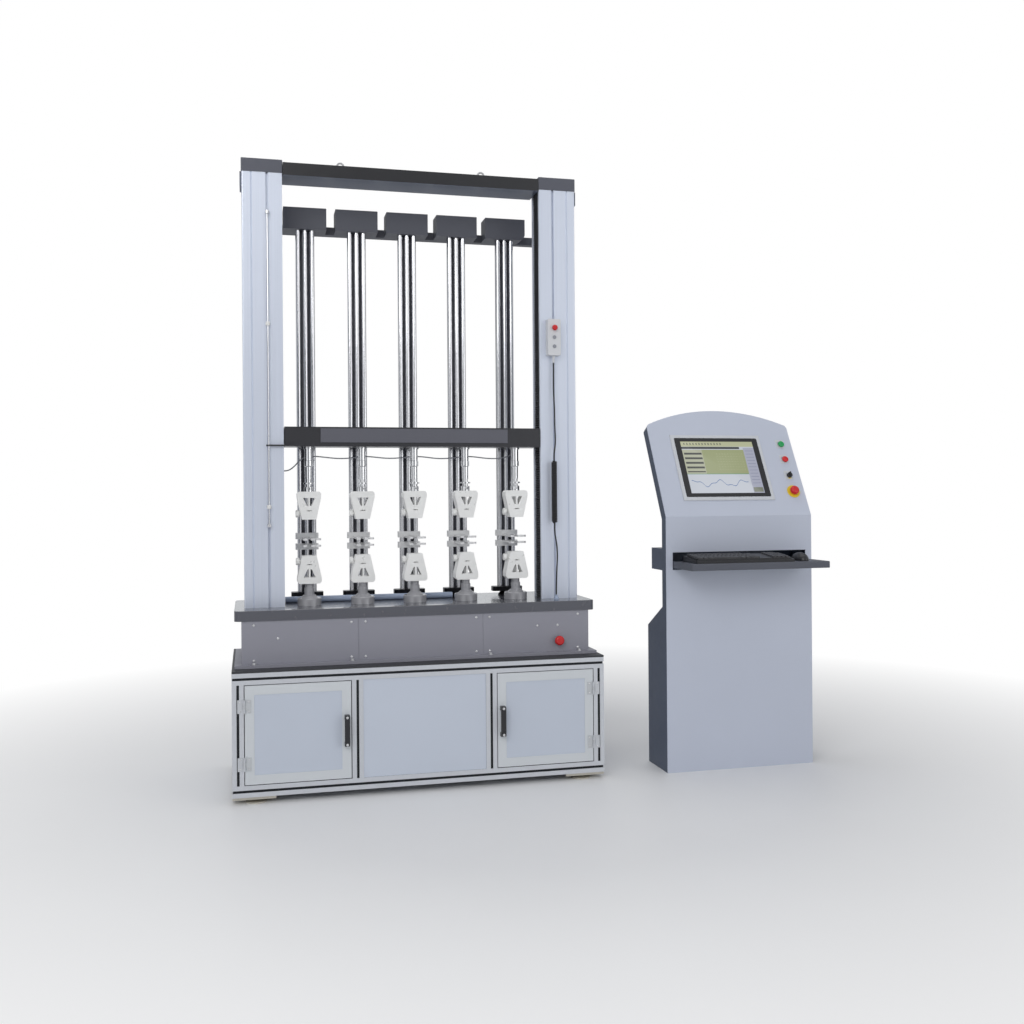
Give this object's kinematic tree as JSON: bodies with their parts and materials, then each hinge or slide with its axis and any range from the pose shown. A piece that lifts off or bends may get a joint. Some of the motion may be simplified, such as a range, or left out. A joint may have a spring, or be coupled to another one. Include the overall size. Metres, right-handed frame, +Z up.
{
  "type": "universal testing machine",
  "caption": "Floor-standing multi-station tension tester: two screw columns, moving crosshead, grips in pairs, extensometers on rods, cabinet base and a separate control console.",
  "frame": {"origin": "middle of the whole set's floor rectangle, on the floor", "axes": "+X to the right seen from the front, the front faces -Y, +Z up"},
  "size_m": [2.462, 0.845, 2.578],
  "materials": {
    "slotted_aluminium": "satin anodised extrusion",
    "pale_panel": "pale blue-grey powder coat",
    "bed_paint": "mid grey powder coat",
    "bed_plate": "dark grey gloss paint",
    "black_paint": "black paint",
    "head_grey": "dark grey paint",
    "bright_nickel": "nickel plated steel",
    "carriage_alloy": "machined aluminium",
    "screw_steel": "ground steel",
    "drive_iron": "painted casting",
    "foot_steel": "zinc plated steel",
    "bellows_black": "black coated fabric",
    "white_plastic": "white moulded plastic",
    "red_plastic": "red moulded plastic",
    "green_plastic": "green moulded plastic",
    "black_plastic": "black moulded plastic",
    "pendant_plastic": "pale grey moulded plastic",
    "cord_rubber": "black rubber",
    "cable_grey": "grey cable jacket",
    "console_casing": "dark blue-grey powder coat",
    "monitor_plastic": "silver plastic",
    "shelf_paint": "dark grey powder coat"
  },
  "bodies": {
    "root": {"cabinet_frame": "slotted_aluminium", "columns": "slotted_aluminium", "cabinet_panels": "pale_panel", "console_front_panel": "pale_panel", "bed_frame": "bed_paint", "bed_front_covers": "bed_paint", "bed_top_plate": "bed_plate", "top_beam": "black_paint", "extensometer_heads": "head_grey", "lower_grips": "bright_nickel", "extensometer_rods": "bright_nickel", "limit_rod": "bright_nickel", "drive_unit": "drive_iron", "levelling_feet": "foot_steel", "bellows_upper": "bellows_black", "bellows_lower": "bellows_black", "pendant": "pendant_plastic", "pendant_cord": "cord_rubber", "pendant_cord_sleeve": "cord_rubber", "console_body": "console_casing", "monitor": "monitor_plastic"},
    "left_door": {"door_left": "pale_panel"},
    "right_door": {"door_right": "pale_panel"},
    "bed_stop": {"bed_stop_button": "red_plastic"},
    "crosshead": {"crosshead": "black_paint", "load_cells": "bright_nickel", "load_cell_cable": "cable_grey", "upper_grips": "bright_nickel"},
    "left_screw": {"ball_screw_left": "screw_steel"},
    "right_screw": {"ball_screw_right": "screw_steel"},
    "upper_limit_stop": {"limit_stop_upper": "white_plastic"},
    "lower_limit_stop": {"limit_stop_lower": "white_plastic"},
    "pendant_stop": {"pendant_stop_button": "red_plastic"},
    "pendant_up": {"pendant_up_button": "black_plastic"},
    "pendant_down": {"pendant_down_button": "black_plastic"},
    "shelf": {"keyboard_shelf": "shelf_paint"},
    "start_key": {"start_button": "green_plastic"},
    "halt_key": {"halt_button": "red_plastic"},
    "selector": {"selector_switch": "black_plastic"},
    "console_stop": {"console_stop_button": "red_plastic"},
    "upper_jaw_1": {"upper_jaw_1": "bright_nickel"},
    "lower_jaw_1": {"lower_jaw_1": "bright_nickel"},
    "upper_carriage_1": {"upper_carriage_1": "carriage_alloy"},
    "lower_carriage_1": {"lower_carriage_1": "carriage_alloy"},
    "upper_jaw_2": {"upper_jaw_2": "bright_nickel"},
    "lower_jaw_2": {"lower_jaw_2": "bright_nickel"},
    "upper_carriage_2": {"upper_carriage_2": "carriage_alloy"},
    "lower_carriage_2": {"lower_carriage_2": "carriage_alloy"},
    "upper_jaw_3": {"upper_jaw_3": "bright_nickel"},
    "lower_jaw_3": {"lower_jaw_3": "bright_nickel"},
    "upper_carriage_3": {"upper_carriage_3": "carriage_alloy"},
    "lower_carriage_3": {"lower_carriage_3": "carriage_alloy"},
    "upper_jaw_4": {"upper_jaw_4": "bright_nickel"},
    "lower_jaw_4": {"lower_jaw_4": "bright_nickel"},
    "upper_carriage_4": {"upper_carriage_4": "carriage_alloy"},
    "lower_carriage_4": {"lower_carriage_4": "carriage_alloy"},
    "upper_jaw_5": {"upper_jaw_5": "bright_nickel"},
    "lower_jaw_5": {"lower_jaw_5": "bright_nickel"},
    "upper_carriage_5": {"upper_carriage_5": "carriage_alloy"},
    "lower_carriage_5": {"lower_carriage_5": "carriage_alloy"}
  },
  "joints": [
    {"name": "crosshead_travel", "type": "slide", "parent": "root", "child": "crosshead", "axis": [0, 0, 1], "range_m": [-0.07, 0.45], "deforming": ["bellows_upper", "bellows_lower", "load_cell_cable"]},
    {"name": "left_screw_turn", "type": "hinge", "parent": "root", "child": "left_screw", "pos_m": [-1.121, 0.0475, 1.6165], "axis": [0, 0, 1], "range_deg": [-1270, 8110]},
    {"name": "right_screw_turn", "type": "hinge", "parent": "root", "child": "right_screw", "pos_m": [0.159, 0.0475, 1.6165], "axis": [0, 0, 1], "range_deg": [-1270, 8110]},
    {"name": "left_door_swing", "type": "hinge", "parent": "root", "child": "left_door", "pos_m": [-1.1845, -0.2225, 0.266], "axis": [0, 0, -1], "range_deg": [0, 110]},
    {"name": "right_door_swing", "type": "hinge", "parent": "root", "child": "right_door", "pos_m": [0.2225, -0.2225, 0.266], "axis": [0, 0, 1], "range_deg": [0, 110]},
    {"name": "bed_stop_press", "type": "slide", "parent": "root", "child": "bed_stop", "axis": [0, 1, 0], "range_m": [0, 0.006]},
    {"name": "upper_limit_stop_slide", "type": "slide", "parent": "root", "child": "upper_limit_stop", "axis": [0, 0, 1], "range_m": [-0.3, 0.35]},
    {"name": "lower_limit_stop_slide", "type": "slide", "parent": "root", "child": "lower_limit_stop", "axis": [0, 0, 1], "range_m": [-0.05, 0.2]},
    {"name": "pendant_stop_press", "type": "slide", "parent": "root", "child": "pendant_stop", "axis": [0, 1, 0], "range_m": [0, 0.006]},
    {"name": "pendant_up_press", "type": "slide", "parent": "root", "child": "pendant_up", "axis": [0, 1, 0], "range_m": [0, 0.003], "stiffness_N_per_m": 300, "springref_m": -0.001},
    {"name": "pendant_down_press", "type": "slide", "parent": "root", "child": "pendant_down", "axis": [0, 1, 0], "range_m": [0, 0.003], "stiffness_N_per_m": 300, "springref_m": -0.001},
    {"name": "shelf_slide", "type": "slide", "parent": "root", "child": "shelf", "axis": [0, 1, 0], "range_m": [0, 0.145]},
    {"name": "start_press", "type": "slide", "parent": "root", "child": "start_key", "axis": [0, 0.8771, -0.4802], "range_m": [0, 0.003], "stiffness_N_per_m": 300, "springref_m": -0.001},
    {"name": "halt_press", "type": "slide", "parent": "root", "child": "halt_key", "axis": [0, 0.8771, -0.4802], "range_m": [0, 0.003], "stiffness_N_per_m": 300, "springref_m": -0.001},
    {"name": "selector_turn", "type": "hinge", "parent": "root", "child": "selector", "pos_m": [1.177, -0.1229, 1.2588], "axis": [0, -0.8771, 0.4802], "range_deg": [-45, 45]},
    {"name": "console_stop_press", "type": "slide", "parent": "root", "child": "console_stop", "axis": [0, 0.8771, -0.4802], "range_m": [0, 0.006]},
    {"name": "upper_jaw_1_clamp", "type": "slide", "parent": "crosshead", "child": "upper_jaw_1", "axis": [-1, 0, 0], "range_m": [-0.001, 0.006]},
    {"name": "lower_jaw_1_clamp", "type": "slide", "parent": "root", "child": "lower_jaw_1", "axis": [-1, 0, 0], "range_m": [-0.001, 0.006]},
    {"name": "upper_carriage_1_slide", "type": "slide", "parent": "root", "child": "upper_carriage_1", "axis": [0, 0, 1], "range_m": [-0.008, 0.07]},
    {"name": "lower_carriage_1_slide", "type": "slide", "parent": "root", "child": "lower_carriage_1", "axis": [0, 0, 1], "range_m": [-0.03, 0.008]},
    {"name": "upper_jaw_2_clamp", "type": "slide", "parent": "crosshead", "child": "upper_jaw_2", "axis": [-1, 0, 0], "range_m": [-0.001, 0.006]},
    {"name": "lower_jaw_2_clamp", "type": "slide", "parent": "root", "child": "lower_jaw_2", "axis": [-1, 0, 0], "range_m": [-0.001, 0.006]},
    {"name": "upper_carriage_2_slide", "type": "slide", "parent": "root", "child": "upper_carriage_2", "axis": [0, 0, 1], "range_m": [-0.008, 0.07]},
    {"name": "lower_carriage_2_slide", "type": "slide", "parent": "root", "child": "lower_carriage_2", "axis": [0, 0, 1], "range_m": [-0.03, 0.008]},
    {"name": "upper_jaw_3_clamp", "type": "slide", "parent": "crosshead", "child": "upper_jaw_3", "axis": [-1, 0, 0], "range_m": [-0.001, 0.006]},
    {"name": "lower_jaw_3_clamp", "type": "slide", "parent": "root", "child": "lower_jaw_3", "axis": [-1, 0, 0], "range_m": [-0.001, 0.006]},
    {"name": "upper_carriage_3_slide", "type": "slide", "parent": "root", "child": "upper_carriage_3", "axis": [0, 0, 1], "range_m": [-0.008, 0.07]},
    {"name": "lower_carriage_3_slide", "type": "slide", "parent": "root", "child": "lower_carriage_3", "axis": [0, 0, 1], "range_m": [-0.03, 0.008]},
    {"name": "upper_jaw_4_clamp", "type": "slide", "parent": "crosshead", "child": "upper_jaw_4", "axis": [-1, 0, 0], "range_m": [-0.001, 0.006]},
    {"name": "lower_jaw_4_clamp", "type": "slide", "parent": "root", "child": "lower_jaw_4", "axis": [-1, 0, 0], "range_m": [-0.001, 0.006]},
    {"name": "upper_carriage_4_slide", "type": "slide", "parent": "root", "child": "upper_carriage_4", "axis": [0, 0, 1], "range_m": [-0.008, 0.07]},
    {"name": "lower_carriage_4_slide", "type": "slide", "parent": "root", "child": "lower_carriage_4", "axis": [0, 0, 1], "range_m": [-0.03, 0.008]},
    {"name": "upper_jaw_5_clamp", "type": "slide", "parent": "crosshead", "child": "upper_jaw_5", "axis": [-1, 0, 0], "range_m": [-0.001, 0.006]},
    {"name": "lower_jaw_5_clamp", "type": "slide", "parent": "root", "child": "lower_jaw_5", "axis": [-1, 0, 0], "range_m": [-0.001, 0.006]},
    {"name": "upper_carriage_5_slide", "type": "slide", "parent": "root", "child": "upper_carriage_5", "axis": [0, 0, 1], "range_m": [-0.008, 0.07]},
    {"name": "lower_carriage_5_slide", "type": "slide", "parent": "root", "child": "lower_carriage_5", "axis": [0, 0, 1], "range_m": [-0.03, 0.008]}
  ],
  "couplings": [
    {"joint": "left_screw_turn", "follows": "crosshead_travel", "rad_per_m": 314.16},
    {"joint": "right_screw_turn", "follows": "crosshead_travel", "rad_per_m": 314.16}
  ]
}
